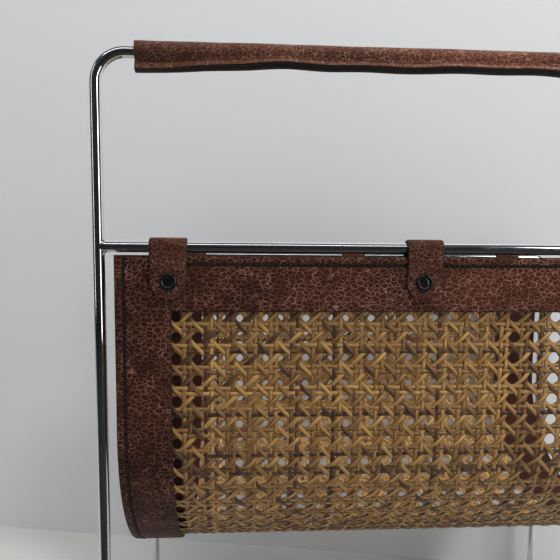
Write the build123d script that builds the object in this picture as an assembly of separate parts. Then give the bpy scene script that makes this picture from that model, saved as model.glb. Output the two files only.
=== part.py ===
from build123d import *
import math
import os

# Round-rod frame, millimetres. X runs along the rails, +Y is the back, the floor is at Z = 0.
ROD_D = 6.7
UPRIGHT_SPAN = 379.0
RAIL_SPACING = 197.0
RAIL_Z = 323.0
HANDLE_RISE = 107.6
BEND_R = 17.0
REAR_BEND_R = 12.0

# The sling hangs as a U from the two rails. Distances from the middle plane, outside to inside.
SLING_SIDE_GAP = 9.0
SLING_HALF_WIDTH = UPRIGHT_SPAN / 2 - SLING_SIDE_GAP
SLING_DROP = 110.0
SLING_TOP_GAP = 4.9
FACE_OFFSET = 3.65
BORDER_T = 2.0
LINING_CLEAR = 4.15
SIDE_LINING_T = 1.6
TOP_LINING_T = 3.15

# Leather borders, with their edges turned under as a hem that the cane butts against.
SIDE_BORDER_W = 32.2
TOP_BORDER_W = 32.6
HEM_W = 24.0
LINING_EXTRA = 4.6
SEAM_INSET = 5.0
SEAM_W = 0.8
SEAM_DEPTH = 0.4

# Cane webbing: strands in pairs on a half-inch pitch.
CANE_PITCH = 12.7
PAIR_OFFSET = 1.75
STRAND_W = 2.2
STRAND_T = 0.6
WEFT_FACE = 2.9
DIAGONAL_T = 0.45
DIAGONAL_W = 2.0
WARP_PAIRS = 2 * int((SLING_HALF_WIDTH - HEM_W) / CANE_PITCH) + 1
WALL_WEFT_PAIRS = 6
BEND_FACETS = 12

# Tabs and their ring snaps.
TAB_INSET = 30.7
TAB_X = SLING_HALF_WIDTH - TAB_INSET
TAB_W = 21.4
TAB_T = 1.6
TAB_DROP = 20.0
LOOP_START_DEG = 12.0
LOOP_BACK_DROP = 28.0
SNAP_D = 10.5
SNAP_RISE = 1.3
SNAP_CHAMFER = 0.8
SNAP_BORE_D = 4.2
EYELET_D = 5.8
POST_D = 3.5
POST_PROUD = 1.4
WASHER_D = 9.0
WASHER_T = 0.8

# Leather sleeve on the handle, closed by a sewn flap underneath.
SLEEVE_END_GAP = 22.5
SLEEVE_HALF_L = UPRIGHT_SPAN / 2 - SLEEVE_END_GAP
SLEEVE_D = 12.2
FLAP_T = 4.2
FLAP_DROP = 9.4
FLAP_SEAM_DROP = 7.2

# Derived places.
ROD_R = ROD_D / 2
HALF_SPAN = UPRIGHT_SPAN / 2
FRONT_Y = -RAIL_SPACING / 2
HANDLE_Z = RAIL_Z + HANDLE_RISE
SLING_Z = RAIL_Z - SLING_DROP
WALL_H = SLING_DROP - SLING_TOP_GAP
FACE_R = RAIL_SPACING / 2 + FACE_OFFSET
BORDER_R = FACE_R - BORDER_T
LINING_R = FACE_R - LINING_CLEAR
CANE_HALF_W = SLING_HALF_WIDTH - HEM_W
CANE_WALL_H = WALL_H - HEM_W
HINGE_R = FACE_R + TAB_T / 2
LOOP_R = FACE_OFFSET + TAB_T / 2
SNAP_Z = RAIL_Z - TAB_DROP
BORDER_INNER_X = SLING_HALF_WIDTH - SIDE_BORDER_W
WEFT_R = FACE_R - WEFT_FACE
WARP_R = WEFT_R - STRAND_T
FACET_DEG = 180.0 / BEND_FACETS


def rod(points, radius):
    """A round rod through the points, with a circular bend at every corner."""
    corners = [Vector(*p) for p in points]
    edges = []
    at = corners[0]
    for before, corner, after in zip(corners, corners[1:], corners[2:]):
        way_in = (corner - before).normalized()
        way_out = (after - corner).normalized()
        turn = math.radians(way_in.get_angle(way_out))
        reach = radius * math.tan(turn / 2)
        start = corner - way_in * reach
        end = corner + way_out * reach
        inward = (way_out - way_in).normalized()
        middle = corner + inward * (radius / math.cos(turn / 2) - radius)
        edges.append(Line(at, start))
        edges.append(ThreePointArc(start, middle, end))
        at = end
    edges.append(Line(at, corners[-1]))
    path = Wire(edges)
    direction = (corners[1] - corners[0]).normalized()
    return sweep(Plane(corners[0], z_dir=direction) * Circle(ROD_R), path=path)


def bar(length, x, y, z):
    """A straight rod along X."""
    return Pos(x, y, z) * Rot(0, 90, 0) * Cylinder(ROD_R, length)


def side_plane(x):
    """The sketch plane across the sling: sketch x is the part's Y, sketch y is up from the bend centre."""
    return Plane((x, 0, SLING_Z), x_dir=(0, 1, 0), z_dir=(1, 0, 0))


def smooth_u(radius, height):
    """A filled U with a half-round bottom."""
    bottom = Circle(radius) & Pos(0, -radius) * Rectangle(2 * radius, 2 * radius)
    return bottom + Pos(0, height / 2) * Rectangle(2 * radius, height)


def facet_points(apothem):
    """Corners of the bend when it is made of flats that touch a circle, from the front wall to the back."""
    normals = [0.0] + [FACET_DEG * (n + 0.5) for n in range(BEND_FACETS)] + [180.0]
    points = []
    for first, second in zip(normals, normals[1:]):
        middle = math.radians((first + second) / 2)
        reach = apothem / math.cos(math.radians((second - first) / 2))
        points.append((-reach * math.cos(middle), -reach * math.sin(middle)))
    return points


def faceted_u(apothem, height):
    """A filled U whose bottom is made of flats."""
    corners = [(-apothem, height)] + facet_points(apothem) + [(apothem, height)]
    return make_face(Polyline(*corners, close=True))


def u_band(x, width, outer, inner, height):
    """A strip of the U, from x over the width."""
    ring = smooth_u(outer, height) - smooth_u(inner, height)
    return extrude(side_plane(x) * ring, amount=width)


def wall_box(x0, x1, drop0, drop1, deep0, deep1):
    """A box on the front wall: drops down from the sling's top edge, depths from the middle plane."""
    size = (x1 - x0, deep1 - deep0, drop1 - drop0)
    top = RAIL_Z - SLING_TOP_GAP
    centre = ((x0 + x1) / 2, -(deep0 + deep1) / 2, top - (drop0 + drop1) / 2)
    return Pos(*centre) * Box(*size)


def y_cylinder(diameter, x, deep0, deep1, z):
    """A cylinder that runs through the front wall."""
    return Pos(x, -(deep0 + deep1) / 2, z) * Rot(90, 0, 0) * Cylinder(diameter / 2, deep1 - deep0)


def to_back(shape):
    """The same thing on the back wall, turned half round."""
    return Rot(0, 0, 180) * shape


def front_and_back(shape):
    """A group of two copies, one on each wall."""
    return Compound(children=[*shape.solids(), *to_back(shape).solids()])


def make_frame():
    mid_run = 0.0
    floor = ROD_R
    front = rod(
        [
            (-HALF_SPAN, mid_run, floor),
            (-HALF_SPAN, FRONT_Y, floor),
            (-HALF_SPAN, FRONT_Y, HANDLE_Z),
            (HALF_SPAN, FRONT_Y, HANDLE_Z),
            (HALF_SPAN, FRONT_Y, floor),
            (HALF_SPAN, mid_run, floor),
        ],
        BEND_R,
    )
    rear = rod(
        [
            (-HALF_SPAN, mid_run, floor),
            (-HALF_SPAN, -FRONT_Y, floor),
            (-HALF_SPAN, -FRONT_Y, RAIL_Z),
            (HALF_SPAN, -FRONT_Y, RAIL_Z),
            (HALF_SPAN, -FRONT_Y, floor),
            (HALF_SPAN, mid_run, floor),
        ],
        REAR_BEND_R,
    )
    rail = bar(UPRIGHT_SPAN, 0, FRONT_Y, RAIL_Z) - front
    return {"front_frame": front, "rear_frame": rear, "front_rail": rail}


def make_handle():
    tube = Rot(0, 90, 0) * Cylinder(SLEEVE_D / 2, 2 * SLEEVE_HALF_L)
    flap_h = FLAP_DROP - ROD_R
    flap = Pos(0, 0, -ROD_R - flap_h / 2) * Box(2 * SLEEVE_HALF_L, FLAP_T, flap_h)
    bore = Rot(0, 90, 0) * Cylinder(ROD_R, 2 * SLEEVE_HALF_L)
    seam = Pos(0, -FLAP_T / 2 + SEAM_DEPTH / 2, -FLAP_SEAM_DROP) * Box(
        2 * (SLEEVE_HALF_L - SEAM_INSET), SEAM_DEPTH, SEAM_W
    )
    seams = Compound(children=[*seam.solids(), *to_back(seam).solids()])
    sleeve = tube + flap - bore - seams
    place = Pos(0, FRONT_Y, HANDLE_Z)
    return {"handle_sleeve": place * sleeve, "handle_seam": place * seams}


def make_seams():
    """Thread laid flush in a groove round the borders: along both tops and round both side bends."""
    inset_x = SLING_HALF_WIDTH - SEAM_INSET
    top = wall_box(-inset_x, inset_x, SEAM_INSET, SEAM_INSET + SEAM_W, FACE_R - SEAM_DEPTH, FACE_R)
    side_h = WALL_H - SEAM_INSET - SEAM_W
    right = u_band(inset_x - SEAM_W, SEAM_W, FACE_R, FACE_R - SEAM_DEPTH, side_h)
    left = u_band(-inset_x, SEAM_W, FACE_R, FACE_R - SEAM_DEPTH, side_h)
    return top, left, right


def side_border(x):
    """An outer leather strip with its hem turned in at the outer edge; x is the lower X of the strip."""
    strip = u_band(x, SIDE_BORDER_W, FACE_R, BORDER_R, WALL_H)
    hem_x = SLING_HALF_WIDTH - HEM_W if x > 0 else -SLING_HALF_WIDTH
    hem = u_band(hem_x, HEM_W, BORDER_R, LINING_R, WALL_H)
    return strip + hem


def make_borders(posts, seams):
    top_seam, left_seam, right_seam = seams
    top = wall_box(-BORDER_INNER_X, BORDER_INNER_X, 0, TOP_BORDER_W, BORDER_R, FACE_R)
    hem = wall_box(-CANE_HALF_W, CANE_HALF_W, 0, HEM_W, LINING_R, BORDER_R)
    front = top + hem - top_seam - posts
    left = side_border(-SLING_HALF_WIDTH) - top_seam - to_back(top_seam) - left_seam - posts
    right = side_border(BORDER_INNER_X) - top_seam - to_back(top_seam) - right_seam - posts
    back = to_back(front)
    return {
        "front_top_border": front,
        "rear_top_border": back,
        "left_side_border": left - to_back(posts),
        "right_side_border": right - to_back(posts),
        "border_seams": Compound(
            children=[s for shape in (top_seam, to_back(top_seam), left_seam, right_seam) for s in shape.solids()]
        ),
    }


def make_linings(posts):
    inner_x = BORDER_INNER_X - LINING_EXTRA
    width = SLING_HALF_WIDTH - inner_x
    drop = TOP_BORDER_W + LINING_EXTRA
    top = wall_box(-SLING_HALF_WIDTH, SLING_HALF_WIDTH, 0, drop, LINING_R - TOP_LINING_T, LINING_R) - posts
    side_h = WALL_H - drop
    left = u_band(-SLING_HALF_WIDTH, width, LINING_R, LINING_R - SIDE_LINING_T, side_h)
    right = u_band(inner_x, width, LINING_R, LINING_R - SIDE_LINING_T, side_h)
    return {
        "front_top_lining": top,
        "rear_top_lining": to_back(top),
        "left_side_lining": left,
        "right_side_lining": right,
    }


def pair_places(count):
    """Middles of the single strands of a number of pairs, centred on zero."""
    middles = [CANE_PITCH * (n - (count - 1) / 2) for n in range(count)]
    return [m + side * PAIR_OFFSET for m in middles for side in (-1, 1)]


def warp_strands():
    """Inner strands that run down the front, under the bottom and up the back."""
    ring = faceted_u(WARP_R, CANE_WALL_H) - faceted_u(WARP_R - STRAND_T, CANE_WALL_H)
    return [extrude(side_plane(x - STRAND_W / 2) * ring, amount=STRAND_W) for x in pair_places(WARP_PAIRS)]


def weft_strand(angle, along):
    """One strand along X on the flat whose normal is turned down from the front by the angle."""
    lie = Rot(angle, 0, 0) * Pos(0, -WARP_R - STRAND_T / 2, along)
    return Pos(0, 0, SLING_Z) * lie * Box(2 * CANE_HALF_W, STRAND_T, STRAND_W)


def weft_strands():
    strands = []
    for n in range(WALL_WEFT_PAIRS):
        for side in (-1, 1):
            along = CANE_PITCH * (n + 0.5) + side * PAIR_OFFSET
            strands.append(weft_strand(0, along))
            strands.append(to_back(weft_strand(0, along)))
    for n in range(BEND_FACETS):
        for along in pair_places(2):
            strands.append(weft_strand(FACET_DEG * (n + 0.5), along))
    return strands


def diagonal_strands():
    """Crossing strands on the two flat walls, one lean over the other, cut to the cane's opening."""
    window = Pos(0, 0, SLING_Z + CANE_WALL_H / 2) * Box(2 * CANE_HALF_W, 3 * FACE_R, CANE_WALL_H)
    # The strands pass midway between the holes, which lie on whole pitches above the bend's centre.
    mid_rows = round(CANE_WALL_H / 2 / CANE_PITCH)
    half_count = int((CANE_HALF_W + CANE_WALL_H) / CANE_PITCH)
    long_enough = 2 * CANE_WALL_H
    strands = []
    for layer, lean in ((0.5, 45), (1.5, -45)):
        deep = WEFT_R + DIAGONAL_T * layer
        for n in range(-half_count, half_count + 1):
            turn = Pos(CANE_PITCH * n, -deep, SLING_Z + CANE_PITCH * mid_rows) * Rot(0, lean, 0)
            strand = (turn * Box(DIAGONAL_W, DIAGONAL_T, long_enough * math.sqrt(2))) & window
            for piece in strand.solids():
                strands.append(piece)
                strands.append(to_back(piece))
    return strands


def make_cane():
    groups = {
        "cane_warps": warp_strands(),
        "cane_wefts": weft_strands(),
        "cane_diagonals": diagonal_strands(),
    }
    return {name: Compound(children=[s for piece in pieces for s in piece.solids()]) for name, pieces in groups.items()}


def tab_loop(x):
    """The fixed part of a tab: over the rail and down behind the lining."""
    outer = LOOP_R + TAB_T / 2
    inner = LOOP_R - TAB_T / 2
    turn = math.radians(LOOP_START_DEG)
    far = 2 * outer
    corners = [(0, 0), (0, far), (-far, far), (-far, far * math.tan(turn))]
    wedge = make_face(Polyline(*corners, close=True))
    front = (Circle(outer) - Circle(inner)) & wedge
    back = (Circle(outer) - Circle(inner)) & Pos(outer / 2, outer / 2) * Rectangle(outer, outer)
    leg = Pos(LOOP_R, -LOOP_BACK_DROP / 2) * Rectangle(TAB_T, LOOP_BACK_DROP)
    stand = Plane((x - TAB_W / 2, FRONT_Y, RAIL_Z), x_dir=(0, 1, 0), z_dir=(1, 0, 0))
    return extrude(stand * (front + back + leg), amount=TAB_W)


def tab_flap(x):
    """The loose front part: a strap with a round end and a rolled top, holding the eyelet of the snap."""
    deep = FACE_R + TAB_T / 2
    body = Pos(x, -deep, RAIL_Z - TAB_DROP / 2) * Box(TAB_W, TAB_T, TAB_DROP)
    end = y_cylinder(TAB_W, x, FACE_R, FACE_R + TAB_T, SNAP_Z)
    roll = Pos(x, -deep, RAIL_Z) * Rot(0, 90, 0) * Cylinder(TAB_T / 2, TAB_W)
    hole = y_cylinder(EYELET_D, x, FACE_R, FACE_R + TAB_T, SNAP_Z)
    return body + end + roll - hole


def snap_ring(x):
    """The black ring of a snap, open in the middle, with its eyelet through the flap."""
    face = FACE_R + TAB_T
    ring = y_cylinder(SNAP_D, x, face, face + SNAP_RISE, SNAP_Z)
    rim = ring.edges().filter_by(GeomType.CIRCLE).sort_by(Axis.Y)[0]
    ring = chamfer(rim, SNAP_CHAMFER)
    eyelet = y_cylinder(EYELET_D, x, FACE_R, face, SNAP_Z)
    bore = y_cylinder(SNAP_BORE_D, x, FACE_R, face + SNAP_RISE, SNAP_Z)
    return ring + eyelet - bore


def snap_post(x):
    """The post that holds a tab's back end and the wall together, and enters the snap ring."""
    back = LINING_R - TOP_LINING_T - TAB_T
    post = y_cylinder(POST_D, x, back, FACE_R + POST_PROUD, SNAP_Z)
    washer = y_cylinder(WASHER_D, x, back - WASHER_T, back, SNAP_Z)
    return post + washer


def make_tabs():
    places = {"left": -TAB_X, "middle": 0.0, "right": TAB_X}
    nodes = {}
    posts = []
    for side, x in places.items():
        post = snap_post(x)
        posts.append(post)
        made = {"tab_loop": tab_loop(x) - post, "tab_flap": tab_flap(x), "snap_ring": snap_ring(x)}
        for name, shape in made.items():
            nodes[f"{name}_front_{side}"] = shape
    for side, x in places.items():
        for name in ("tab_loop", "tab_flap", "snap_ring"):
            opposite = {"left": "right", "middle": "middle", "right": "left"}[side]
            nodes[f"{name}_rear_{side}"] = to_back(nodes[f"{name}_front_{opposite}"])
    front_posts = Compound(children=[s for post in posts for s in post.solids()])
    nodes["snap_posts"] = front_and_back(front_posts)
    return nodes, front_posts


def main():
    tabs, front_posts = make_tabs()
    nodes = make_frame()
    nodes.update(make_handle())
    nodes.update(make_borders(front_posts, make_seams()))
    nodes.update(make_linings(front_posts))
    nodes.update(make_cane())
    nodes.update(tabs)
    os.makedirs("parts", exist_ok=True)
    for name, shape in nodes.items():
        export_step(shape, f"parts/{name}.step")


main()
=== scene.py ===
# %% [markdown]
# A free-standing magazine file holder: a bent, chromed rod frame carries a U-shaped sling of cane webbing.
# The sling is bound with pebbled leather and hangs from the two rails by short leather tabs with ring snaps.
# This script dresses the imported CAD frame: each visible piece is built again with its real thickness, weave,
# stitches and finish, in metres, in the frame of the CAD model.

import math

import bpy
import numpy as np
from mathutils import Matrix, Vector


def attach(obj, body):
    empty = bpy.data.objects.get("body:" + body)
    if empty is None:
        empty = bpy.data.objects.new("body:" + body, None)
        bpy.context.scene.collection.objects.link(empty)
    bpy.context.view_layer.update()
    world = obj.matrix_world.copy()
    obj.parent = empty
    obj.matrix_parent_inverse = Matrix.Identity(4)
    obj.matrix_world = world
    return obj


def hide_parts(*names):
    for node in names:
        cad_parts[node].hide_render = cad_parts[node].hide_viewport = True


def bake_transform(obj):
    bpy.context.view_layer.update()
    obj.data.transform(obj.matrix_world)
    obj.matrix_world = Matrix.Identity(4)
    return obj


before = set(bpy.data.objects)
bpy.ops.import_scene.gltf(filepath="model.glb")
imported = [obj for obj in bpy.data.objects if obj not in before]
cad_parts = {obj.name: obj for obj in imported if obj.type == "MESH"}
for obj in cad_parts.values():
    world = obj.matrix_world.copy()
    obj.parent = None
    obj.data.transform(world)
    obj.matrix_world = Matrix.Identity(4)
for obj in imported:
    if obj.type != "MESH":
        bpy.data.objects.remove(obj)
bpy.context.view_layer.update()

# %% [markdown]
# The sizes below repeat the real object's main measures, so that every piece lands on its CAD node.
# The sling is described by two numbers: how far along the rail (u), and how far round the U (s).

# %% Sizes
ROD_R = 0.00335
HALF_SPAN = 0.1895
RAIL_Y = 0.0985
RAIL_Z = 0.323
HANDLE_Z = 0.4306
BEND_R = 0.017
REAR_BEND_R = 0.012
BEND_Z = 0.213
FACE_R = 0.10215
BORDER_R = 0.10015
CANE_R = 0.09907
LINING_R = 0.0980
TOP_Z = 0.3181
HALF_W = 0.1805
SIDE_W = 0.0322
TOP_W = 0.0326
INNER_X = HALF_W - SIDE_W
PITCH = 0.0127
TAB_X = 0.1498
TAB_HALF_W = 0.0107
TAB_T = 0.0016
SNAP_Z = 0.303
SLEEVE_HALF = 0.167
rng = np.random.default_rng(7)
WALL = TOP_Z - BEND_Z


def on_u(s, radius):
    """Point and outward normal, in Y and Z, at distance s round a U of that radius, from its front top edge."""
    bend = math.pi * radius
    s = np.asarray(s, float)
    angle = np.clip((s - WALL) / radius, 0, math.pi)
    y = -radius * np.cos(angle)
    z = BEND_Z - radius * np.sin(angle)
    z = z + np.clip(WALL - s, -1, None) * (s < WALL) + (s - WALL - bend) * (s > WALL + bend)
    return y, z, -np.cos(angle), -np.sin(angle)


# %% [markdown]
# Every piece is a mesh made from numbers, so two helpers do the common work. One builds a mesh object from
# arrays. The other joins closed rings of points into a skin with end caps, which suits rods, straps and strips.

# %% Mesh helpers
def add_mesh(name, verts, faces, materials, picks=None, smooth=True, values=None):
    """A mesh object from arrays. values is a dict of per-point numbers for the materials."""
    me = bpy.data.meshes.new(name)
    me.from_pydata(np.asarray(verts).tolist(), [], [list(map(int, f)) for f in faces])
    for m in materials:
        me.materials.append(m)
    if picks is not None:
        me.polygons.foreach_set("material_index", np.asarray(picks, np.int32))
    me.polygons.foreach_set("use_smooth", np.full(len(me.polygons), smooth))
    for key, data in (values or {}).items():
        layer = me.attributes.new(key, "FLOAT", "POINT")
        layer.data.foreach_set("value", np.asarray(data, np.float32))
    me.validate()
    me.update()
    ob = bpy.data.objects.new(name, me)
    bpy.context.scene.collection.objects.link(ob)
    return ob


def rings_to_faces(count, width, start=0, caps=True):
    """Quads that join count rings of width points, and a face on each end."""
    faces = []
    for i in range(count - 1):
        a = start + i * width
        b = a + width
        for k in range(width):
            n = (k + 1) % width
            faces.append((a + k, a + n, b + n, b + k))
    if caps:
        faces.append([start + k for k in range(width)][::-1])
        faces.append([start + (count - 1) * width + k for k in range(width)])
    return faces


def skin(name, rings, materials, ring_picks=None, **more):
    """A closed skin through rings, an array of shape (rings, points, 3)."""
    count, width = rings.shape[:2]
    faces = rings_to_faces(count, width)
    picks = None
    if ring_picks is not None:
        picks = list(ring_picks) * (count - 1) + [max(ring_picks)] * 2
    return add_mesh(name, rings.reshape(-1, 3), faces, materials, picks, **more)


def join_parts(name, parts, materials, **more):
    """One mesh out of several (verts, faces) pairs."""
    verts, faces, at = [], [], 0
    for v, f in parts:
        verts.append(np.asarray(v))
        faces.extend([tuple(i + at for i in face) for face in f])
        at += len(v)
    return add_mesh(name, np.concatenate(verts), faces, materials, **more)


def auto_smooth(ob, degrees=35):
    """Keeps edges sharp where the faces turn by more than the angle."""
    ob.data.set_sharp_from_angle(angle=math.radians(degrees))
    return ob


print("mesh helpers ready")


# %% [markdown]
# Materials come as node groups with named sockets that give out colours, masks and normals; the shader itself
# stays in each material. A few small functions keep the node code short.

# %% Node helpers
def new_group(name, inputs, outputs):
    """An empty node group with named sockets. Each socket is (name, kind, default)."""
    group = bpy.data.node_groups.new(name, "ShaderNodeTree")
    for label, kind, value in inputs:
        sock = group.interface.new_socket(label, in_out="INPUT", socket_type=kind)
        sock.default_value = value
    for label, kind in outputs:
        group.interface.new_socket(label, in_out="OUTPUT", socket_type=kind)
    return group, group.nodes.new("NodeGroupInput"), group.nodes.new("NodeGroupOutput")


def node(tree, kind, values=None, **props):
    made = tree.nodes.new(kind)
    for key, value in props.items():
        setattr(made, key, value)
    for key, value in (values or {}).items():
        made.inputs[key].default_value = value
    return made


def maths(tree, operation, a, b=0.0, clamp=False):
    made = tree.nodes.new("ShaderNodeMath")
    made.operation = operation
    made.use_clamp = clamp
    for index, value in enumerate((a, b)):
        if isinstance(value, (int, float)):
            made.inputs[index].default_value = value
        else:
            tree.links.new(value, made.inputs[index])
    return made.outputs[0]


def mix_colour(tree, factor, a, b, mode="MIX"):
    made = node(tree, "ShaderNodeMix", data_type="RGBA", blend_type=mode)
    for sock, value in ((made.inputs[0], factor), (made.inputs[6], a), (made.inputs[7], b)):
        if isinstance(value, (int, float, tuple)):
            sock.default_value = value
        else:
            tree.links.new(value, sock)
    return made.outputs[2]


def ramp(tree, value, stops):
    """A colour ramp through (place, grey or colour) stops."""
    made = tree.nodes.new("ShaderNodeValToRGB")
    bar = made.color_ramp
    while len(bar.elements) < len(stops):
        bar.elements.new(0.5)
    for element, (place, colour) in zip(bar.elements, stops):
        element.position = place
        element.color = colour if isinstance(colour, tuple) else (colour, colour, colour, 1)
    tree.links.new(value, made.inputs[0])
    return made.outputs[0]


def new_material(name, values):
    mat = bpy.data.materials.new(name)
    mat.use_nodes = True
    shader = mat.node_tree.nodes["Principled BSDF"]
    for key, value in values.items():
        shader.inputs[key].default_value = value
    return mat, mat.node_tree, shader


def object_coords(tree):
    return tree.nodes.new("ShaderNodeTexCoord").outputs["Object"]


# %% [markdown]
# The leather is a red-brown hide printed with a pebble grain. Its top colour is rubbed off along the creases,
# so a net of thin pinkish lines shows on the dark ground. Cells of two sizes make the net, warped a little by
# noise, and large soft noise varies the depth of colour so that no two areas repeat.

# %% Leather group
def make_leather_group():
    g, gin, gout = new_group(
        "Veined leather",
        [
            ("Vector", "NodeSocketVector", (0, 0, 0)),
            ("Ground", "NodeSocketColor", (0.06, 0.02, 0.012, 1)),
            ("Vein", "NodeSocketColor", (0.3, 0.13, 0.09, 1)),
            ("Vein strength", "NodeSocketFloat", 0.7),
            ("Cells per metre", "NodeSocketFloat", 330.0),
        ],
        [("Color", "NodeSocketColor"), ("Roughness", "NodeSocketFloat"), ("Normal", "NodeSocketVector")],
    )
    link = g.links.new
    warp = node(g, "ShaderNodeTexNoise", {"Scale": 260.0, "Detail": 3.0, "Roughness": 0.6})
    link(gin.outputs["Vector"], warp.inputs["Vector"])
    shift = node(g, "ShaderNodeVectorMath", operation="MULTIPLY_ADD")
    shift.inputs[1].default_value = (0.0022, 0.0022, 0.0022)
    link(warp.outputs["Color"], shift.inputs[0])
    grain = node(g, "ShaderNodeVectorMath", operation="MULTIPLY")
    grain.inputs[1].default_value = (0.80, 1.0, 1.15)
    link(gin.outputs["Vector"], grain.inputs[0])
    link(grain.outputs[0], shift.inputs[2])
    masks = []
    heights = []
    for share, width in ((1.0, 0.042), (1.9, 0.036)):
        cell_scale = maths(g, "MULTIPLY", gin.outputs["Cells per metre"], share)
        edge = node(g, "ShaderNodeTexVoronoi", feature="DISTANCE_TO_EDGE")
        link(shift.outputs[0], edge.inputs["Vector"])
        link(cell_scale, edge.inputs["Scale"])
        masks.append(ramp(g, edge.outputs["Distance"], [(0.0, 1.0), (width * 0.6, 0.7), (width * 1.5, 0.0)]))
        heights.append(ramp(g, edge.outputs["Distance"], [(0.0, 0.0), (0.12, 0.7), (0.4, 1.0)]))
    patch = node(g, "ShaderNodeTexNoise", {"Scale": 95.0, "Detail": 4.0, "Roughness": 0.65})
    link(gin.outputs["Vector"], patch.inputs["Vector"])
    worn = ramp(g, patch.outputs["Fac"], [(0.36, 0.25), (0.62, 1.0)])
    fine = maths(g, "MULTIPLY", masks[1], 0.40)
    net = maths(g, "MAXIMUM", masks[0], fine)
    net = maths(g, "MULTIPLY", net, worn)
    net = maths(g, "MULTIPLY", net, gin.outputs["Vein strength"], clamp=True)
    broad = node(g, "ShaderNodeTexNoise", {"Scale": 22.0, "Detail": 3.0})
    link(gin.outputs["Vector"], broad.inputs["Vector"])
    tone = ramp(g, broad.outputs["Fac"], [(0.3, 0.62), (0.7, 1.25)])
    ground = mix_colour(g, 1.0, gin.outputs["Ground"], tone, "MULTIPLY")
    colour = mix_colour(g, net, ground, gin.outputs["Vein"])
    link(colour, gout.inputs["Color"])
    link(maths(g, "ADD", maths(g, "MULTIPLY", net, 0.12), 0.46), gout.inputs["Roughness"])
    pores = node(g, "ShaderNodeTexNoise", {"Scale": 1500.0, "Detail": 3.0})
    link(gin.outputs["Vector"], pores.inputs["Vector"])
    height = maths(g, "ADD", maths(g, "MULTIPLY", heights[0], 0.7), maths(g, "MULTIPLY", heights[1], 0.25))
    height = maths(g, "ADD", height, maths(g, "MULTIPLY", pores.outputs["Fac"], 0.25))
    bump = node(g, "ShaderNodeBump", {"Strength": 0.85, "Distance": 0.0008})
    link(height, bump.inputs["Height"])
    link(bump.outputs["Normal"], gout.inputs["Normal"])
    return g


leather_group = make_leather_group()


def leather(name, ground, vein, strength, cells=330.0, coat=0.12):
    finish = {"Coat Weight": coat, "Coat Roughness": 0.4, "Specular IOR Level": 0.14}
    mat, tree, shader = new_material(name, finish)
    use = tree.nodes.new("ShaderNodeGroup")
    use.node_tree = leather_group
    use.inputs["Ground"].default_value = ground
    use.inputs["Vein"].default_value = vein
    use.inputs["Vein strength"].default_value = strength
    use.inputs["Cells per metre"].default_value = cells
    tree.links.new(object_coords(tree), use.inputs["Vector"])
    tree.links.new(use.outputs["Color"], shader.inputs["Base Color"])
    tree.links.new(use.outputs["Roughness"], shader.inputs["Roughness"])
    tree.links.new(use.outputs["Normal"], shader.inputs["Normal"])
    return mat


def paint_light_along_rail(mat, low, high):
    """Multiplies the ground colour by a tone that rises along the rail: painted light, darker on the left and
    lighter on the right.
    """
    tree = mat.node_tree
    use = next(n for n in tree.nodes if n.type == "GROUP")
    place = tree.nodes.new("ShaderNodeSeparateXYZ")
    tree.links.new(object_coords(tree), place.inputs[0])
    share = maths(tree, "MULTIPLY", maths(tree, "ADD", place.outputs["X"], 0.17), 3.4, clamp=True)
    tone = ramp(tree, share, [(0.0, low), (1.0, high)])
    for label in ("Ground", "Vein"):
        base = tuple(use.inputs[label].default_value)
        tree.links.new(mix_colour(tree, 1.0, base, tone, "MULTIPLY"), use.inputs[label])


border_leather = leather(
    "Border leather", (0.035, 0.0090, 0.0045, 1), (0.40, 0.190, 0.130, 1), 0.9, 350.0, 0.0
)
tab_leather = leather("Tab leather", (0.044, 0.0118, 0.0058, 1), (0.42, 0.205, 0.140, 1), 0.8, 460.0, 0.0)
# Painted light: the sleeve's ground is much lighter than the borders', standing in for the top light on the
# handle.
sleeve_leather_top_lit = leather(
    "Sleeve leather", (0.085, 0.0270, 0.0150, 1), (0.52, 0.290, 0.205, 1), 0.9, 430.0, 0.08
)
lining_leather = leather(
    "Lining leather", (0.036, 0.0115, 0.0080, 1), (0.085, 0.034, 0.024, 1), 0.35, 500.0, 0.0
)
# Painted light: the handle sleeve and the borders are made darker on the left and lighter on the right, as the
# light falls from the right.
paint_light_along_rail(sleeve_leather_top_lit, (0.66, 0.66, 0.66, 1), (1.55, 1.5, 1.45, 1))
paint_light_along_rail(border_leather, (0.85, 0.82, 0.8, 1), (1.6, 1.6, 1.6, 1))
print("leathers made")


# %% [markdown]
# Cut edges are dyed black and burnished, and the thread is black waxed cord. Both are nearly matt and need
# only a little fibre or twist in their surface.

# %% Edge dye, thread and snap finishes
def fibrous(name, colour, roughness, scale, strength, distance):
    mat, tree, shader = new_material(name, {"Roughness": roughness, "Base Color": colour})
    noise = node(tree, "ShaderNodeTexNoise", {"Scale": scale, "Detail": 4.0})
    tree.links.new(object_coords(tree), noise.inputs["Vector"])
    light = tuple(min(1.0, c * 2.2 + 0.004) for c in colour[:3]) + (1,)
    tone = ramp(tree, noise.outputs["Fac"], [(0.4, colour), (0.75, light)])
    tree.links.new(tone, shader.inputs["Base Color"])
    bump = node(tree, "ShaderNodeBump", {"Strength": strength, "Distance": distance})
    tree.links.new(noise.outputs["Fac"], bump.inputs["Height"])
    tree.links.new(bump.outputs["Normal"], shader.inputs["Normal"])
    return mat


# The same black also serves as painted shade in the bottom of the borders' stitch grooves.
edge_dye_and_groove_shade = fibrous("Edge dye and groove shade", (0.010, 0.007, 0.006, 1), 0.55, 900.0, 0.5, 0.0003)
thread = fibrous("Waxed thread", (0.008, 0.006, 0.0055, 1), 0.6, 2500.0, 0.6, 0.0002)
snap_black = fibrous("Blackened brass", (0.006, 0.006, 0.007, 1), 0.26, 700.0, 0.08, 0.0001)
snap_black.node_tree.nodes["Principled BSDF"].inputs["Metallic"].default_value = 0.35
snap_black.node_tree.nodes["Principled BSDF"].inputs["Coat Weight"].default_value = 0.6
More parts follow.
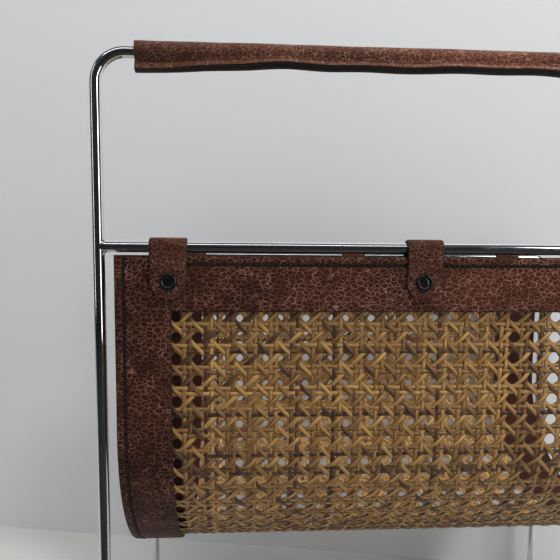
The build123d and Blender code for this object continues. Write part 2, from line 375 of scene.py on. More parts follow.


# %% [markdown]
# The rods are steel with bright chrome. Faint smears and a few darker specks keep the mirror from looking
# perfect, and near a weld the plating has a yellowish tint.

# %% Chrome
def make_chrome_group():
    g, gin, gout = new_group(
        "Used chrome",
        [("Vector", "NodeSocketVector", (0, 0, 0)), ("Heat", "NodeSocketFloat", 0.0)],
        [("Color", "NodeSocketColor"), ("Roughness", "NodeSocketFloat"), ("Normal", "NodeSocketVector")],
    )
    link = g.links.new
    smear = node(g, "ShaderNodeTexNoise", {"Scale": 45.0, "Detail": 5.0, "Roughness": 0.7})
    speck = node(g, "ShaderNodeTexNoise", {"Scale": 900.0, "Detail": 2.0})
    for made in (smear, speck):
        link(gin.outputs["Vector"], made.inputs["Vector"])
    rough = ramp(g, smear.outputs["Fac"], [(0.35, 0.045), (0.72, 0.15)])
    spots = ramp(g, speck.outputs["Fac"], [(0.70, 0.0), (0.78, 1.0)])
    link(maths(g, "ADD", rough, maths(g, "MULTIPLY", spots, 0.2)), gout.inputs["Roughness"])
    clean = mix_colour(g, maths(g, "MULTIPLY", spots, 0.35), (0.80, 0.81, 0.83, 1), (0.30, 0.29, 0.27, 1))
    link(mix_colour(g, gin.outputs["Heat"], clean, (0.62, 0.52, 0.30, 1)), gout.inputs["Color"])
    bump = node(g, "ShaderNodeBump", {"Strength": 0.12, "Distance": 0.0001})
    link(smear.outputs["Fac"], bump.inputs["Height"])
    link(bump.outputs["Normal"], gout.inputs["Normal"])
    return g


chrome_group = make_chrome_group()
chrome, tree, shader = new_material("Chrome", {"Metallic": 1.0})
use = tree.nodes.new("ShaderNodeGroup")
use.node_tree = chrome_group
tree.links.new(object_coords(tree), use.inputs["Vector"])
heat = node(tree, "ShaderNodeAttribute", attribute_name="heat")
tree.links.new(heat.outputs["Fac"], use.inputs["Heat"])
for label, target in (("Color", "Base Color"), ("Roughness", "Roughness"), ("Normal", "Normal")):
    tree.links.new(use.outputs[label], shader.inputs[target])


# %% [markdown]
# Cane is the glossy skin of the rattan palm, split into flat strands. New cane is golden; with age single
# strands darken to brown, and every strand keeps fine lines along its length. The mesh gives each point the
# strand's own random number, the distance along it and the place across it.

# %% Cane
def make_cane_group():
    g, gin, gout = new_group(
        "Cane skin",
        [
            ("Strand", "NodeSocketFloat", 0.5),
            ("Along", "NodeSocketFloat", 0.0),
            ("Across", "NodeSocketFloat", 0.5),
        ],
        [("Color", "NodeSocketColor"), ("Roughness", "NodeSocketFloat"), ("Normal", "NodeSocketVector")],
    )
    link = g.links.new
    seat = node(g, "ShaderNodeCombineXYZ")
    link(maths(g, "MULTIPLY", gin.outputs["Along"], 55.0), seat.inputs[0])
    link(maths(g, "MULTIPLY", gin.outputs["Across"], 2.2), seat.inputs[1])
    link(maths(g, "MULTIPLY", gin.outputs["Strand"], 310.0), seat.inputs[2])
    lengths = node(g, "ShaderNodeTexNoise", {"Scale": 1.0, "Detail": 3.0, "Roughness": 0.6})
    link(seat.outputs[0], lengths.inputs["Vector"])
    line = node(g, "ShaderNodeCombineXYZ")
    link(maths(g, "MULTIPLY", gin.outputs["Along"], 120.0), line.inputs[0])
    link(maths(g, "MULTIPLY", gin.outputs["Across"], 9.0), line.inputs[1])
    link(maths(g, "MULTIPLY", gin.outputs["Strand"], 97.0), line.inputs[2])
    fibres = node(g, "ShaderNodeTexNoise", {"Scale": 1.0, "Detail": 4.0, "Roughness": 0.7})
    link(line.outputs[0], fibres.inputs["Vector"])
    own = maths(g, "MULTIPLY", gin.outputs["Strand"], 0.55)
    local = maths(g, "MULTIPLY", lengths.outputs["Fac"], 0.75)
    age = maths(g, "ADD", own, local)
    base = ramp(
        g,
        age,
        [
            (0.28, (0.52, 0.300, 0.085, 1)),
            (0.55, (0.33, 0.170, 0.044, 1)),
            (0.78, (0.135, 0.062, 0.019, 1)),
            (0.95, (0.050, 0.024, 0.014, 1)),
        ],
    )
    streak = ramp(g, fibres.outputs["Fac"], [(0.3, 0.5), (0.5, 1.0), (0.75, 1.22)])
    colour = mix_colour(g, 1.0, base, streak, "MULTIPLY")
    # Painted shade: each strand darkens towards both edges, where it meets and dips under its neighbours.
    side = maths(g, "ABSOLUTE", maths(g, "SUBTRACT", gin.outputs["Across"], 0.5))
    painted_rim_shade = ramp(g, side, [(0.27, 0.0), (0.5, 0.95)])
    link(mix_colour(g, painted_rim_shade, colour, (0.055, 0.030, 0.016, 1)), gout.inputs["Color"])
    link(ramp(g, fibres.outputs["Fac"], [(0.3, 0.5), (0.7, 0.34)]), gout.inputs["Roughness"])
    bump = node(g, "ShaderNodeBump", {"Strength": 0.4, "Distance": 0.00012})
    link(fibres.outputs["Fac"], bump.inputs["Height"])
    link(bump.outputs["Normal"], gout.inputs["Normal"])
    return g


cane_group = make_cane_group()
finish = {"Specular IOR Level": 0.5, "Coat Weight": 0.15, "Coat Roughness": 0.3}
cane, tree, shader = new_material("Cane", finish)
use = tree.nodes.new("ShaderNodeGroup")
use.node_tree = cane_group
for label in ("Strand", "Along", "Across"):
    read = node(tree, "ShaderNodeAttribute", attribute_name=label.lower())
    tree.links.new(read.outputs["Fac"], use.inputs[label])
for label, target in (("Color", "Base Color"), ("Roughness", "Roughness"), ("Normal", "Normal")):
    tree.links.new(use.outputs[label], shader.inputs[target])
print("materials made:", len(bpy.data.materials))

# %% [markdown]
# The frame is one long rod bent cold round a former, so its corners are true arcs of the same thickness. A
# path of straight runs and arcs is swept with a circle. The front rail is butt-welded between the uprights,
# and each weld is a small, slightly lumpy collar, ground smooth before plating.


# %% Rods
def bent_path(corners, radius, step=0.0012):
    """Points along straight runs with an arc at every inner corner."""
    corners = [Vector(c) for c in corners]
    points = [corners[0]]
    for before, corner, after in zip(corners, corners[1:], corners[2:]):
        way_in = (corner - before).normalized()
        way_out = (after - corner).normalized()
        turn = way_in.angle(way_out)
        reach = radius * math.tan(turn / 2)
        start = corner - way_in * reach
        centre = start + (way_out - way_in * way_in.dot(way_out)).normalized() * radius
        arm = start - centre
        steps = max(6, int(radius * turn / step))
        points.extend(
            centre + arm * math.cos(turn * k / steps) + way_in * radius * math.sin(turn * k / steps)
            for k in range(steps + 1)
        )
    points.append(corners[-1])
    return points


def sweep_rings(points, radii, sides):
    """Circles carried along a path without twist."""
    points = [Vector(p) for p in points]
    tangents = [(b - a).normalized() for a, b in zip(points, points[1:])]
    tangents.append(tangents[-1])
    across = tangents[0].orthogonal().normalized()
    rings = []
    for i, point in enumerate(points):
        t = tangents[i] if i == 0 else (tangents[i - 1] + tangents[i]).normalized()
        across = (across - t * across.dot(t)).normalized()
        up = t.cross(across)
        turn = [2 * math.pi * k / sides for k in range(sides)]
        rings.append([point + (across * math.cos(a) + up * math.sin(a)) * radii[i] for a in turn])
    return np.array(rings)


def build_rods():
    made = []
    for name, y, top, radius in (
        ("front_frame", -RAIL_Y, HANDLE_Z, BEND_R),
        ("rear_frame", RAIL_Y, RAIL_Z, REAR_BEND_R),
    ):
        corners = [
            (-HALF_SPAN, 0, ROD_R),
            (-HALF_SPAN, y, ROD_R),
            (-HALF_SPAN, y, top),
            (HALF_SPAN, y, top),
            (HALF_SPAN, y, ROD_R),
            (HALF_SPAN, 0, ROD_R),
        ]
        path = bent_path(corners, radius)
        rings = sweep_rings(path, [ROD_R] * len(path), 40)
        if name == "front_frame":
            near = np.abs(rings[..., 2] - RAIL_Z) + np.abs(rings[..., 1] + RAIL_Y)
            warm = np.clip(1 - near / 0.012, 0, 1) * 0.5
        else:
            warm = np.zeros(rings.shape[:2])
        ob = skin(f"{name}_rod", rings, [chrome], values={"heat": warm.ravel()})
        auto_smooth(ob, 50)
        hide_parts(name)
        made.append(ob)
    return made


def build_rail():
    """The rail, with a weld collar where each end meets its upright."""
    end = HALF_SPAN - ROD_R * 0.35
    left = np.linspace(-end, -end + 0.012, 25)
    right = np.linspace(end - 0.012, end, 25)
    x = np.concatenate([left, np.linspace(-0.15, 0.15, 40), right])
    reach = end - np.abs(x)
    radii = ROD_R + 0.00055 * np.exp(-(((reach - 0.0024) / 0.0013) ** 2))
    rings = sweep_rings([(v, -RAIL_Y, RAIL_Z) for v in x], radii, 40)
    warm = np.repeat(np.clip(1 - (reach - 0.002) / 0.007, 0, 1)[:, None], 40, axis=1)
    ob = skin("front_rail_rod", rings, [chrome], values={"heat": (warm * 0.9).ravel()})
    auto_smooth(ob, 50)
    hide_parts("front_rail")
    return ob


rods = build_rods() + [build_rail()]
for rod in rods:
    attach(rod, "rack")
print("rods:", [r.name for r in rods])

# %% [markdown]
# The webbing is the classic six-way cane: pairs of strands along and across, held apart by single diagonals.
# Each strand is a thin, slightly domed ribbon that really passes over and under the others, laid on the U of
# the sling. One strand of a pair goes over where its partner goes under. One lean of diagonal rides over the
# crosswise pairs and under the upright ones, and the other lean does the opposite, which leaves round holes.

# %% Weave
BEND_LEN = math.pi * CANE_R
TOTAL = 2 * WALL + BEND_LEN
ROW_PITCH = PITCH
S_LOW = WALL - 5.5 * ROW_PITCH
S_COUNT = int((TOTAL - 0.0285 - S_LOW) / ROW_PITCH) + 1
U_COUNT = 24
U_LOW = -12 * PITCH
EDGE_U = 0.1545
EDGE_S = 0.0285
PAIR = 0.00172
HALF_T = 0.00027


def ribbon(u, s, n, width, seed):
    """Rings of a domed ribbon through sheet places u, s at height n, with the numbers its material reads."""
    y, z, ny, nz = on_u(s, CANE_R)
    centre = np.stack([u, y + ny * n, z + nz * n], axis=1)
    normal = np.stack([np.zeros_like(u), ny, nz], axis=1)
    along = np.gradient(centre, axis=0)
    along /= np.linalg.norm(along, axis=1)[:, None]
    normal = normal - along * np.sum(along * normal, axis=1)[:, None]
    normal /= np.linalg.norm(normal, axis=1)[:, None]
    side = np.cross(along, normal)
    shape = [(-0.5, -0.5), (-0.46, 0.35), (0.0, 1.0), (0.46, 0.35), (0.5, -0.5)]
    ring = [centre + side * (a * width) + normal * (b * HALF_T) for a, b in shape]
    distance = np.concatenate([[0], np.cumsum(np.linalg.norm(np.diff(centre, axis=0), axis=1))])
    rings = np.stack(ring, axis=1)
    across = np.tile([0.0, 0.06, 0.5, 0.94, 1.0], len(u))
    return rings, np.full(len(u) * 5, seed), np.repeat(distance, 5), across


def age_of_strand():
    """Most strands are golden; about one in six is old and dark."""
    return rng.uniform(0.70, 1.0) if rng.random() < 0.18 else rng.uniform(0.0, 0.60)


def pair_height(place, count, low, pitch, flip):
    """Height of a strand that passes under one strand and over the other of every crossing pair."""
    height = np.zeros_like(place)
    for k in range(count + 1):
        middle = low + k * pitch
        for partner in (-1, 1):
            over = partner * flip * (1 if k % 2 else -1)
            height += over * np.exp(-(((place - middle - partner * PAIR) / 0.0013) ** 2))
    return height * 0.00036


def wobble(count, amount):
    """A slow random drift, as strands are never quite straight."""
    knots = rng.normal(0, amount, max(4, count // 24))
    return np.interp(np.linspace(0, 1, count), np.linspace(0, 1, len(knots)), knots)


def warp_ribbons():
    out = []
    s = np.arange(EDGE_S, TOTAL - EDGE_S, 0.0011)
    for k in range(U_COUNT + 1):
        for partner in (-1, 1):
            u = U_LOW + k * PITCH + partner * PAIR + wobble(len(s), 0.00012)
            flip = partner * (1 if k % 2 else -1)
            n = -pair_height(s, S_COUNT, S_LOW + ROW_PITCH / 2, ROW_PITCH, flip)
            out.append(ribbon(u, s, n, rng.uniform(0.0024, 0.0029), age_of_strand()))
    return out


def weft_ribbons():
    out = []
    u = np.arange(-EDGE_U, EDGE_U, 0.0011)
    rows = range(-1, S_COUNT + 1)
    for k in rows:
        for partner in (-1, 1):
            middle = S_LOW + (k + 0.5) * ROW_PITCH + partner * PAIR
            if not EDGE_S < middle < TOTAL - EDGE_S:
                continue
            s = middle + wobble(len(u), 0.00012)
            flip = partner * (1 if k % 2 else -1)
            n = pair_height(u, U_COUNT, U_LOW, PITCH, flip)
            out.append(ribbon(u, s, n, rng.uniform(0.0024, 0.0029), age_of_strand()))
    return out


def diagonal_ribbons():
    out = []
    reach = int((TOTAL / ROW_PITCH)) + U_COUNT
    for lean in (1, -1):
        for k in range(-reach, reach + 1):
            u_full = np.arange(-EDGE_U, EDGE_U, 0.0009)
            s_full = S_LOW + (k + lean * (u_full - U_LOW) / PITCH) * ROW_PITCH
            keep = (s_full > EDGE_S) & (s_full < TOTAL - EDGE_S)
            if keep.sum() < 8:
                continue
            u, s = u_full[keep], s_full[keep]
            height = -lean * np.cos(2 * math.pi * (u - U_LOW) / PITCH) * 0.00072
            drift = wobble(len(u), 0.0001)
            out.append(ribbon(u + drift, s, height, rng.uniform(0.0025, 0.0031), age_of_strand()))
    return out


def strands_object(name, strands, cad_node):
    verts, faces, values, at = [], [], {"strand": [], "along": [], "across": []}, 0
    for rings, seed, along, across in strands:
        count = rings.shape[0]
        verts.append(rings.reshape(-1, 3))
        faces.extend(rings_to_faces(count, 5, at))
        at += count * 5
        for key, data in (("strand", seed), ("along", along), ("across", across)):
            values[key].append(data)
    numbers = {key: np.concatenate(data) for key, data in values.items()}
    ob = add_mesh(name, np.concatenate(verts), faces, [cane], values=numbers)
    auto_smooth(ob, 60)
    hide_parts(cad_node)
    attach(ob, "rack")
    print(name, len(strands), "strands,", at, "points")
    return ob


strands_object("cane_upright_strands", warp_ribbons(), "cane_warps")
strands_object("cane_cross_strands", weft_ribbons(), "cane_wefts")
strands_object("cane_slanting_strands", diagonal_ribbons(), "cane_diagonals")

# %% [markdown]
# The borders are strips of thick leather with dyed, rounded edges. A strip is a rounded rectangle carried
# along a line on the sling. A shallow groove near its outer edge is where the stitching pulls it down. The
# top strips sag and swell a little between the tabs, as leather that carries weight does.


# %% Leather strips
def strip_section(width, low, high, groove=None, corner=0.0006):
    """Points (across, height) round a strip, and for each stretch if it is black: dyed edge, or groove bottom
    as painted shade.
    """
    top = [(-width / 2 + corner, high), (-width / 2 + 3 * corner, high + 0.00006)]
    if groove is not None:
        offsets = (-0.0018, -0.0009, 0, 0.0006, 0.0010)
        depths = (0.00002, 0.0004, 0.00075, 0.0006, 0.00002)
        top.extend((groove + offset, high - deep) for offset, deep in zip(offsets, depths))
    top.extend((a, high + 0.00006) for a in np.linspace(-width / 2 + 0.010, width / 2 - 0.004, 6))
    top.sort()
    top.extend([(width / 2 - corner, high)])
    right = [(width / 2 - corner * 0.3, high - corner * 0.3), (width / 2, high - corner), (width / 2, low)]
    left = [(-width / 2, low), (-width / 2, high - corner), (-width / 2 + corner * 0.3, high - corner * 0.3)]
    points = top + right + left
    seam = groove if groove is not None else 9.0
    # Painted shade: the bottom of the stitch groove takes the black edge material.
    picks = [int(abs((a[0] + b[0]) / 2 - seam) < 0.0009) for a, b in zip(top, top[1:])]
    picks += [1] * len(right) + [0] + [1] * len(left)
    return np.array(points), picks


def strip(name, u, s, way, section, materials, swell=0.0):
    """A strip whose middle runs through sheet places u, s. way is the sheet direction across it: 'u' or 's'."""
    points, picks = section
    rings = []
    for k in range(len(u)):
        across, height = points[:, 0], points[:, 1] + swell * math.sin(k * 0.11) * math.sin(k * 0.031 + 1)
        uu = u[k] + (across if way == "u" else 0 * across)
        ss = s[k] + (across if way == "s" else 0 * across)
        y, z, ny, nz = on_u(ss, CANE_R)
        rings.append(np.stack([uu, y + ny * (height - CANE_R), z + nz * (height - CANE_R)], axis=1))
    return skin(name, np.array(rings), materials, picks)


def arc_places(step=0.0022):
    return np.arange(0, TOTAL + step / 2, TOTAL / round(TOTAL / step))


def build_borders():
    made = []
    s = arc_places()
    for side, name in ((-1, "left"), (1, "right")):
        section, picks = strip_section(SIDE_W, BORDER_R, FACE_R, -SIDE_W / 2 + 0.0052)
        if side > 0:
            section = section * np.array([-1, 1])
        u = np.full(len(s), side * (HALF_W - SIDE_W / 2))
        ob = strip(f"{name}_border", u, s, "u", (section, picks), [border_leather, edge_dye_and_groove_shade], 0.00006)
        made.append((ob, f"{name}_side_border"))
        inner = SIDE_W + 0.0046
        u = np.full(len(s), side * (HALF_W - inner / 2))
        section = strip_section(inner, LINING_R - 0.0016, LINING_R - 0.0002)
        ob = strip(f"{name}_lining", u, s, "u", section, [lining_leather, edge_dye_and_groove_shade])
        made.append((ob, f"{name}_side_lining"))
    x = np.arange(-INNER_X, INNER_X + 0.001, 0.0022)
    wide = np.arange(-HALF_W + 0.0002, HALF_W - 0.0002, 0.0022)
    for name, middle, turn in (("front", 0.0, 1), ("rear", TOTAL, -1)):
        section, picks = strip_section(TOP_W, BORDER_R, FACE_R, -TOP_W / 2 + 0.0052)
        section = section * np.array([turn, 1])
        s = np.full(len(x), middle + turn * TOP_W / 2)
        ob = strip(f"{name}_border", x, s, "s", (section, picks), [border_leather, edge_dye_and_groove_shade], 0.00018)
        made.append((ob, f"{name}_top_border"))
        drop = TOP_W - 0.0004
        section = strip_section(drop, LINING_R - 0.00315, LINING_R - 0.0010)
        s = np.full(len(wide), middle + turn * drop / 2)
        ob = strip(f"{name}_lining", wide, s, "s", section, [lining_leather, edge_dye_and_groove_shade])
        made.append((ob, f"{name}_top_lining"))
    return made


for ob, cad_node in build_borders():
    auto_smooth(ob, 50)
    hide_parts(cad_node)
    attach(ob, "rack")
print("strips made")

# %% [markdown]
# Black waxed thread runs round the borders in a lockstitch. Every stitch is a short, fat grain of thread that
# dips into the leather at both ends, so each one is a small spindle laid in the groove.


# %% Stitches
def spindle(start, end, radius, normal, sides=6):
    """One stitch: a closed spindle from start to end, bulging along the normal."""
    start, end, normal = Vector(start), Vector(end), Vector(normal)
    along = (end - start).normalized()
    side = along.cross(normal).normalized()
    verts = []
    for t in (0.0, 0.2, 0.5, 0.8, 1.0):
        swell = math.sin(math.pi * (0.12 + 0.76 * t))
        centre = start.lerp(end, t) + normal * (radius * (swell - 0.75))
        for k in range(sides):
            a = 2 * math.pi * k / sides
            verts.append(centre + (side * math.cos(a) + normal * math.sin(a)) * radius * swell)
    return [tuple(v) for v in verts], rings_to_faces(5, sides)


def sheet_point(u, s, height):
    y, z, ny, nz = (float(v) for v in on_u(s, CANE_R))
    lift = height - CANE_R
    return (u, y + ny * lift, z + nz * lift), (0, ny, nz)


def stitch_row(places, height, radius=0.00074, fill=0.90):
    parts = []
    for (u0, s0), (u1, s1) in zip(places, places[1:]):
        gap = (1 - fill) / 2
        a, n = sheet_point(u0 + (u1 - u0) * gap, s0 + (s1 - s0) * gap, height)
        b, _ = sheet_point(u1 - (u1 - u0) * gap, s1 - (s1 - s0) * gap, height)
        parts.append(spindle(a, b, radius, n))
    return parts


def build_stitches():
    inset, pitch = 0.0052, 0.0033
    parts = []
    for s in (inset, TOTAL - inset):
        count = round(2 * (HALF_W - inset) / pitch)
        xs = np.linspace(-HALF_W + inset, HALF_W - inset, count)
        parts += stitch_row([(x, s) for x in xs], FACE_R - 0.0004)
    for x in (-HALF_W + inset, HALF_W - inset):
        ss = np.linspace(inset, TOTAL - inset, round((TOTAL - 2 * inset) / pitch))
        parts += stitch_row([(x, s) for s in ss], FACE_R - 0.0004)
    ob = join_parts("border_stitches", parts, [thread])
    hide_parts("border_seams")
    return ob


stitches = build_stitches()
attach(stitches, "rack")
print("stitches:", len(stitches.data.polygons), "faces")

# %% [markdown]
# A tab is one strap of leather. Its back end is held behind the lining, it goes over the rail, and its front
# end comes down over the border, where it is cut round and carries a ring snap.


# %% Tabs
def tab_path(front):
    """Places (distance, outward y from the rail axis, height from it) down the strap's middle line."""
    radius = 0.00365 + TAB_T / 2
    points = [(radius, -0.028 + 0.028 * t) for t in np.linspace(0, 1, 14)]
    points += [(radius * math.cos(a), radius * math.sin(a)) for a in np.linspace(0, math.pi, 22)[1:]]
    points += [(-radius, -front * t) for t in np.linspace(0, 1, 34)[1:]]
    return np.array(points)


def tab_ring(w):
    """Points (across, up) round the strap where its half width is w."""
    corner = min(0.0005, w * 0.4)
    half = TAB_T / 2
    xs = list(np.linspace(-w + corner, w - corner, 8))
    top = [(v, half + 0.00008 * (1 - (v / w) ** 2)) for v in xs]
    right = [(w - corner * 0.3, half - corner * 0.3), (w, half - corner)]
    bottom = [(v, -half) for v in xs[::-1]]
    left = [(-w, -half + corner), (-w, half - corner)]
    return top + right + bottom + left


def build_tab(name, x, back, skew, nodes):
    end = 0.0305
    path = tab_path(end)
    along = np.gradient(path, axis=0)
    along /= np.linalg.norm(along, axis=1)[:, None]
    normal = np.stack([along[:, 1], -along[:, 0]], axis=1)
    drop = -path[:, 1]
    is_front = path[:, 0] < -0.004
    reach = np.where(is_front, np.clip(drop - (end - TAB_HALF_W), 0, TAB_HALF_W * 0.9995), 0)
    half = np.sqrt(TAB_HALF_W**2 - reach**2)
    lateral = np.where(is_front, skew * drop, 0)
    rings, picks = [], [0] * 7 + [1] * 3 + [0] * 7 + [1] * 3
    for k in range(len(path)):
        ring = []
        for across, up in tab_ring(half[k]):
            y = path[k, 0] + normal[k, 0] * up
            z = path[k, 1] + normal[k, 1] * up
            ring.append((across + lateral[k], y, z))
        rings.append(ring)
    rings = np.array(rings)
    rings[..., 1] -= RAIL_Y
    rings[..., 2] += RAIL_Z
    if back:
        rings = rings * np.array([-1, -1, 1])
    rings[..., 0] += x
    ob = skin(name, rings, [tab_leather, edge_dye_and_groove_shade], picks)
    auto_smooth(ob, 50)
    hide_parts(*nodes)
    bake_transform(ob)
    return ob


# %% [markdown]
# The snap is a small blackened ring with a domed rim and an open middle. It is turned like a washer: a
# profile is spun round its axis. The post that it presses on shows as a small button in the bottom of the ring.


# %% Snaps
def lathe(name, profile, centre, outward, materials, sides=48):
    turn = np.linspace(0, 2 * math.pi, sides, endpoint=False)
    rings = []
    for radius, height in profile:
        x = centre[0] + radius * np.cos(turn)
        y = np.full(sides, centre[1]) + outward * height
        z = centre[2] + radius * np.sin(turn)
        rings.append(np.stack([x, y, z], axis=1))
    rings = np.array(rings)
    if outward > 0:
        rings = rings[:, ::-1]
    ob = skin(name, rings, materials)
    return auto_smooth(ob, 40)


RING_PROFILE = [
    (0.00255, -0.0010),
    (0.00255, 0.0004),
    (0.00270, 0.0007),
    (0.00300, 0.0009),
    (0.00340, 0.0012),
    (0.00400, 0.00132),
    (0.00465, 0.0011),
    (0.00510, 0.0006),
    (0.00525, 0.0001),
    (0.00525, -0.0001),
]
BUTTON_PROFILE = [
    (0.0026, -0.0008),
    (0.0026, 0.00045),
    (0.0022, 0.00062),
    (0.0014, 0.00060),
    (0.0011, 0.0002),
    (0.00005, 0.00015),
]


def build_tabs():
    skews = {"left": 0.0, "middle": -0.035, "right": 0.02}
    places = {"left": -TAB_X, "middle": 0.0, "right": TAB_X}
    count = 0
    for wall, back in (("front", False), ("rear", True)):
        for side, x in places.items():
            key = f"{wall}_{side}"
            flap = f"flap_{key}"
            skew = skews[side]
            build_tab(f"tab_{key}", x, back, skew, [f"tab_loop_{key}", f"tab_flap_{key}"])
            outward = 1 if back else -1
            y = outward * (FACE_R + TAB_T)
            shift = skew * 0.020 * (-1 if back else 1)
            ring = lathe(f"ring_{key}", RING_PROFILE, (x + shift, y, SNAP_Z), outward, [snap_black])
            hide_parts(f"snap_ring_{key}")
            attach(ring, flap)
            button = lathe(f"button_{key}", BUTTON_PROFILE, (x + shift, y, SNAP_Z), outward, [snap_black], 24)
            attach(button, flap)
            count += 1
    return count


print("tabs:", build_tabs())
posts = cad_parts["snap_posts"]
posts.data.materials.clear()
posts.data.materials.append(snap_black)

# %% [markdown]
# The handle sleeve is one piece of leather folded round the bar. Its two edges are brought together below the
# bar and sewn, which leaves a double flap. With use the sleeve has turned on the bar, so the flap hangs
# straight at one end and swings forward in the middle. The section is turned a little more at each station.


# %% Handle sleeve
def sleeve_section():
    """Points (forward, down) round the sleeve and its flap, and which skin stretches are dyed edge."""
    radius, half, bottom = 0.0061, 0.0022, 0.0116
    gap = math.asin(half / radius)
    angles = np.linspace(gap + 0.12, 2 * math.pi - gap - 0.12, 40)
    points = [(radius * math.sin(a), radius * math.cos(a)) for a in angles]
    left = [(-half - 0.0001, 0.0060), (-half + 0.0003, 0.0067)]
    left += [(-half + 0.0006, 0.0072), (-half + 0.0002, 0.0077)]
    left += [(-half - 0.0001, 0.0082), (-half, bottom - 0.0003), (-half + 0.0004, bottom)]
    middle = [(-0.0002, bottom), (0.0, bottom - 0.0004), (0.0002, bottom)]
    right = [(-a, b) for a, b in left[::-1]]
    picks = [0] * (len(points) + len(left) - 2) + [1] * 6 + [0] * (len(right) - 1)
    return points + left + middle + right, picks


def sleeve_turn(x):
    """How far the flap has swung forward, in radians, along the handle."""
    t = np.clip((x + SLEEVE_HALF) / 0.09, 0, 1)
    return math.radians(19) + math.radians(24) * t * t * (3 - 2 * t)


def build_sleeve():
    points, picks = sleeve_section()
    shape = np.array(points)
    rings = []
    for x in np.linspace(-SLEEVE_HALF, SLEEVE_HALF, 260):
        a = float(sleeve_turn(x)) + 0.05 * math.sin(x * 47) + 0.03 * math.sin(x * 131)
        swell = 1 + 0.012 * math.sin(x * 61 + 1) + 0.008 * math.sin(x * 173)
        forward, down = shape[:, 0] * swell, shape[:, 1] * swell
        y = -RAIL_Y - (forward * math.cos(a) + down * math.sin(a))
        z = HANDLE_Z - (down * math.cos(a) - forward * math.sin(a))
        rings.append(np.stack([np.full(len(shape), x), y, z], axis=1))
    ob = skin("handle_cover", np.array(rings), [sleeve_leather_top_lit, edge_dye_and_groove_shade], picks)
    auto_smooth(ob, 50)
    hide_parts("handle_sleeve")
    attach(ob, "rack")
    return ob


def build_sleeve_stitches():
    parts = []
    xs = np.linspace(-SLEEVE_HALF + 0.004, SLEEVE_HALF - 0.004, 96)
    for x0, x1 in zip(xs, xs[1:]):
        for face in (-1, 1):
            ends = []
            for x in (x0 + 0.0004, x1 - 0.0004):
                a = float(sleeve_turn(x)) + 0.05 * math.sin(x * 47) + 0.03 * math.sin(x * 131)
                forward, down = face * 0.0017, 0.0072
                y = -RAIL_Y - (forward * math.cos(a) + down * math.sin(a))
                z = HANDLE_Z - (down * math.cos(a) - forward * math.sin(a))
                ends.append((x, y, z))
            normal = (0, -face * math.cos(a), face * math.sin(a))
            parts.append(spindle(ends[0], ends[1], 0.00042, normal))
    ob = join_parts("handle_stitches", parts, [thread])
    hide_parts("handle_seam")
    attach(ob, "rack")
    return ob


build_sleeve()
build_sleeve_stitches()
print("handle made")

# %% [markdown]
# The room is a pale matt floor and a pale wall close behind the rack, which stands at a slight angle to it.
# The wall is see-through from behind, so the back of the rack can be looked at too. In mirrors only, the floor
# turns dark in front of the rack, so that the uprights keep a dark core all the way down.


# %% Room
def plain_paint(name, colour, roughness):
    finish = {"Roughness": roughness, "Base Color": colour, "Specular IOR Level": 0.2}
    mat, tree, shader = new_material(name, finish)
    noise = node(tree, "ShaderNodeTexNoise", {"Scale": 220.0, "Detail": 4.0})
    tree.links.new(object_coords(tree), noise.inputs["Vector"])
    bump = node(tree, "ShaderNodeBump", {"Strength": 0.05, "Distance": 0.0005})
    tree.links.new(noise.outputs["Fac"], bump.inputs["Height"])
    tree.links.new(bump.outputs["Normal"], shader.inputs["Normal"])
    return mat, tree, shader


floor_mat, tree, shader = plain_paint("Floor", (0.48, 0.475, 0.46, 1), 0.7)
place = tree.nodes.new("ShaderNodeSeparateXYZ")
tree.links.new(object_coords(tree), place.inputs[0])
nearby = ramp(tree, maths(tree, "MULTIPLY", place.outputs["Y"], -1.0), [(0.10, 0.0), (0.24, 1.0)])
glossy = tree.nodes.new("ShaderNodeLightPath")
dark = node(tree, "ShaderNodeBsdfDiffuse", {"Color": (0.02, 0.02, 0.02, 1)})
choose = tree.nodes.new("ShaderNodeMixShader")
tree.links.new(maths(tree, "MULTIPLY", nearby, glossy.outputs["Is Glossy Ray"]), choose.inputs[0])
tree.links.new(shader.outputs[0], choose.inputs[1])
tree.links.new(dark.outputs[0], choose.inputs[2])
tree.links.new(choose.outputs[0], tree.nodes["Material Output"].inputs["Surface"])
wall_mat, tree, shader = plain_paint("Wall", (0.70, 0.71, 0.72, 1), 0.9)
facing = tree.nodes.new("ShaderNodeNewGeometry")
clear = tree.nodes.new("ShaderNodeBsdfTransparent")
choose = tree.nodes.new("ShaderNodeMixShader")
tree.links.new(facing.outputs["Backfacing"], choose.inputs[0])
tree.links.new(shader.outputs[0], choose.inputs[1])
tree.links.new(clear.outputs[0], choose.inputs[2])
tree.links.new(choose.outputs[0], tree.nodes["Material Output"].inputs["Surface"])

corners = [(-3, -3, 0), (3, -3, 0), (3, 3, 0), (-3, 3, 0)]
floor = add_mesh("floor", corners, [(0, 1, 2, 3)], [floor_mat], smooth=False)
wall_at = Vector((0.0, 0.152, 0.0))
wall_way = Vector((0.981, -0.193, 0.0))
a, b = wall_at - wall_way * 3, wall_at + wall_way * 3
up = Vector((0, 0, 3))
corners = [tuple(a), tuple(b), tuple(b + up), tuple(a + up)]
wall = add_mesh("wall", corners, [(0, 1, 2, 3)], [wall_mat], smooth=False)
print("stage:", floor.name, wall.name)

# %% [markdown]
# A small panel high on the right draws the soft shadows, and a wide one overhead fills them. Neither shows in
# the mirrors. Polished rods show what stands round them, so one level strip and two upright ones are there for
# the chrome to catch, and all else that it mirrors is dim, which gives it its dark bands.


# %% Light
def panel(name, place, target, size, power, colour=(1, 1, 1)):
    data = bpy.data.lights.new(name, "AREA")
    data.shape = "RECTANGLE"
    data.size, data.size_y = size
    data.energy = power
    data.color = colour
    ob = bpy.data.objects.new(name, data)
    ob.location = place
    ob.rotation_euler = (Vector(target) - Vector(place)).to_track_quat("-Z", "Y").to_euler()
    bpy.context.scene.collection.objects.link(ob)
    return ob


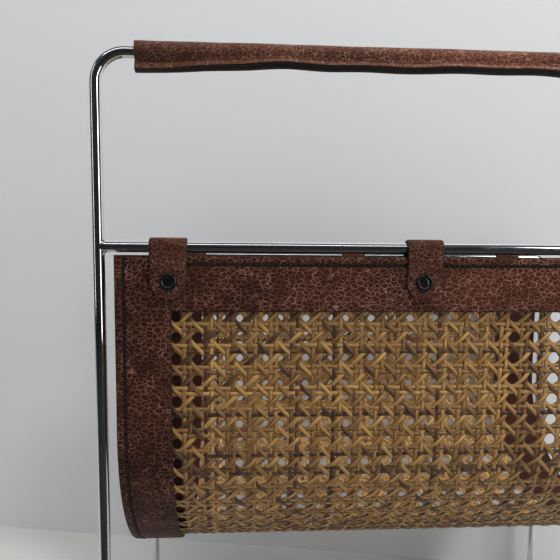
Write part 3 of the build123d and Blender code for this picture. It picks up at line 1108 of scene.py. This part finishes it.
key = panel("key", (1.1, -0.7, 1.9), (0, 0, 0.25), (0.45, 0.45), 27.0, (1.0, 0.985, 0.96))
top = panel("top", (-0.3, -0.45, 2.2), (0, 0, 0.2), (1.8, 0.9), 31.0, (0.96, 0.98, 1.0))
top.visible_glossy = False
key.visible_glossy = False
panel("strip", (-0.2, -1.0, 1.5), (0, 0, 0.3), (1.6, 0.12), 2.4, (1.0, 1.0, 1.0))
panel("window", (1.0, -1.2, 0.65), (0, 0, 0.3), (0.30, 1.3), 5.5, (1.0, 1.0, 1.0))
panel("doorway", (-1.4, -0.6, 0.75), (0, 0, 0.3), (0.10, 1.2), 1.2, (1.0, 1.0, 1.0))
world = bpy.data.worlds.new("Dim room")
world.use_nodes = True
bpy.context.scene.world = world
tree = world.node_tree
background = tree.nodes["Background"]
way = tree.nodes.new("ShaderNodeTexCoord")
split = tree.nodes.new("ShaderNodeSeparateXYZ")
tree.links.new(way.outputs["Generated"], split.inputs[0])
sky = [
    (0.0, (0.03, 0.03, 0.03, 1)),
    (0.35, (0.045, 0.046, 0.05, 1)),
    (0.62, (0.10, 0.10, 0.11, 1)),
    (0.95, (0.22, 0.22, 0.22, 1)),
]
glow = ramp(tree, split.outputs["Z"], sky)
mirrored = tree.nodes.new("ShaderNodeLightPath")
haze = mix_colour(tree, 1.0, glow, (0.10, 0.10, 0.105, 1), "LIGHTEN")
seen = mix_colour(tree, mirrored.outputs["Is Glossy Ray"], haze, glow)
tree.links.new(seen, background.inputs["Color"])
background.inputs["Strength"].default_value = 0.55

# %% [markdown]
# The camera stands a little below rail height, left of the middle, about a third of a metre from the front
# rail, and looks slightly down and to the right.


# %% Camera
def place_camera():
    yaw, pitch, roll = 0.0575, 0.08506, 0.00542
    forward = Vector((math.sin(yaw) * math.cos(pitch), math.cos(yaw) * math.cos(pitch), -math.sin(pitch)))
    right = Vector((math.cos(yaw), -math.sin(yaw), 0))
    up = right.cross(forward)
    right, up = right * math.cos(roll) + up * math.sin(roll), up * math.cos(roll) - right * math.sin(roll)
    data = bpy.data.cameras.new("camera")
    data.sensor_width = 36.0
    data.lens = 36.0 * 0.965
    data.shift_x = 0.0213
    data.shift_y = 0.0626
    data.clip_start = 0.01
    ob = bpy.data.objects.new("camera", data)
    turn = Matrix((right, up, -forward)).transposed().to_4x4()
    ob.matrix_world = Matrix.Translation((-0.1104, -0.41485, 0.31058)) @ turn
    bpy.context.scene.collection.objects.link(ob)
    bpy.context.scene.camera = ob
    return ob


place_camera()
bpy.context.scene.view_settings.view_transform = "Standard"
